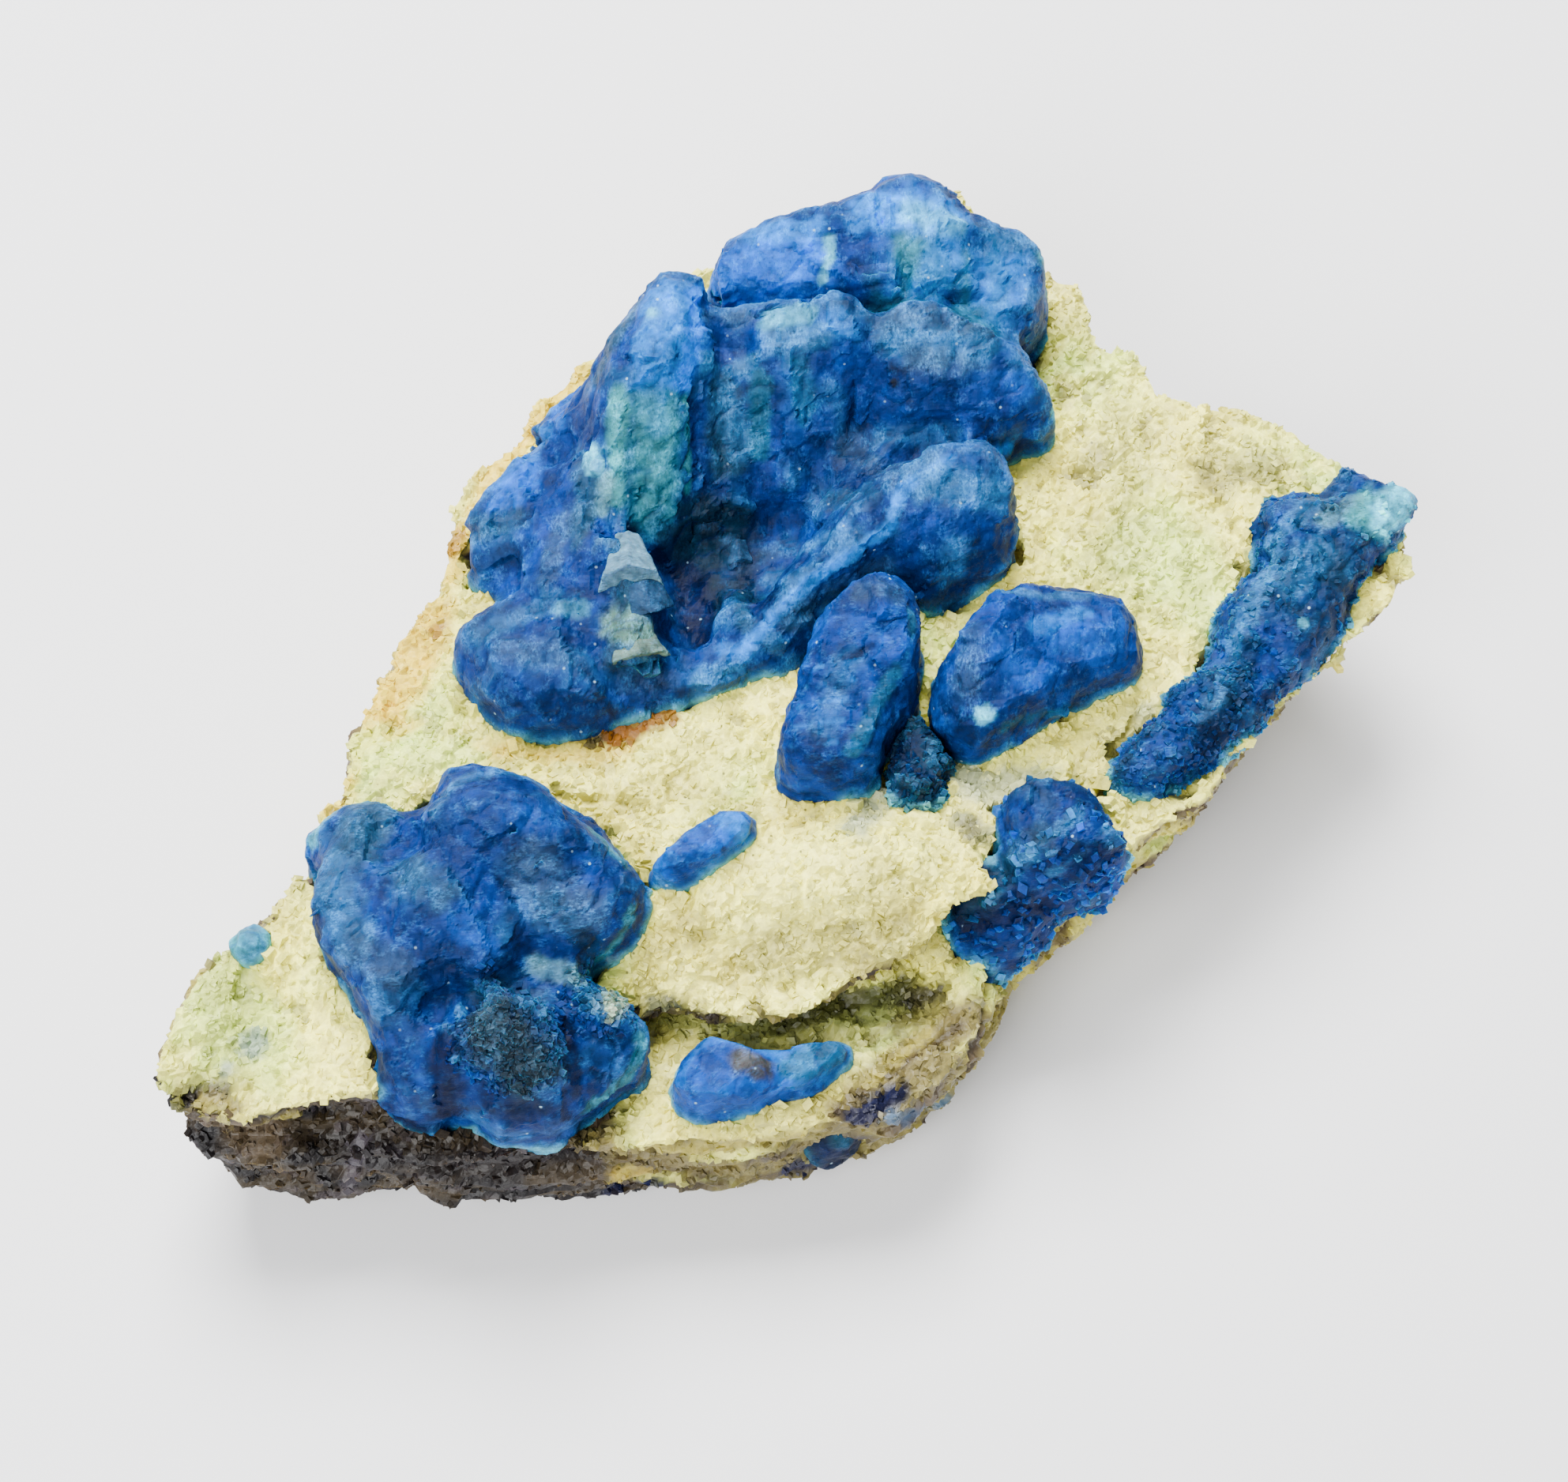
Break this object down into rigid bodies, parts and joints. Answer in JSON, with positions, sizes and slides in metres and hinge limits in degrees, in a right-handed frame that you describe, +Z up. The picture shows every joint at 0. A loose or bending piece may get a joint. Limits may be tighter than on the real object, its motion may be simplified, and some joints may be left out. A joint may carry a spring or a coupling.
{
  "type": "hackmanite cluster",
  "caption": "Mineral specimen lying on its back: rough blue hackmanite crystals grown in groups on a pale, sugary, lozenge-shaped slab of calcite marble.",
  "frame": {"origin": "on the flat patch of the matrix's broken back that the specimen rests on, near the middle of the slab", "axes": "+Z up out of the crystal face, +X towards the right tip of the lozenge, +Y towards the large upper cluster"},
  "size_m": [0.0686, 0.059, 0.0223],
  "materials": {
    "calcite_marble": "sugary, matte, slightly translucent, stained yellow and brown along the upper left rim",
    "deep_hackmanite": "deep blue, frosted and finely granular, paler and translucent at the margins",
    "light_hackmanite": "light azure blue, translucent, waxy to frosted",
    "grey_blue_hackmanite": "grey-blue, granular, mixed with fine calcite grains"
  },
  "bodies": {
    "root": {"matrix": "calcite_marble", "upper_cluster": "deep_hackmanite", "lower_left_cluster": "deep_hackmanite", "center_prism": "deep_hackmanite", "right_prism": "deep_hackmanite", "lower_right_cluster": "deep_hackmanite", "side_crystal": "deep_hackmanite", "small_prism": "light_hackmanite", "lower_prism": "light_hackmanite", "bead_crystal": "light_hackmanite", "drusy_crust": "grey_blue_hackmanite", "right_edge_crust": "grey_blue_hackmanite"}
  },
  "joints": []
}
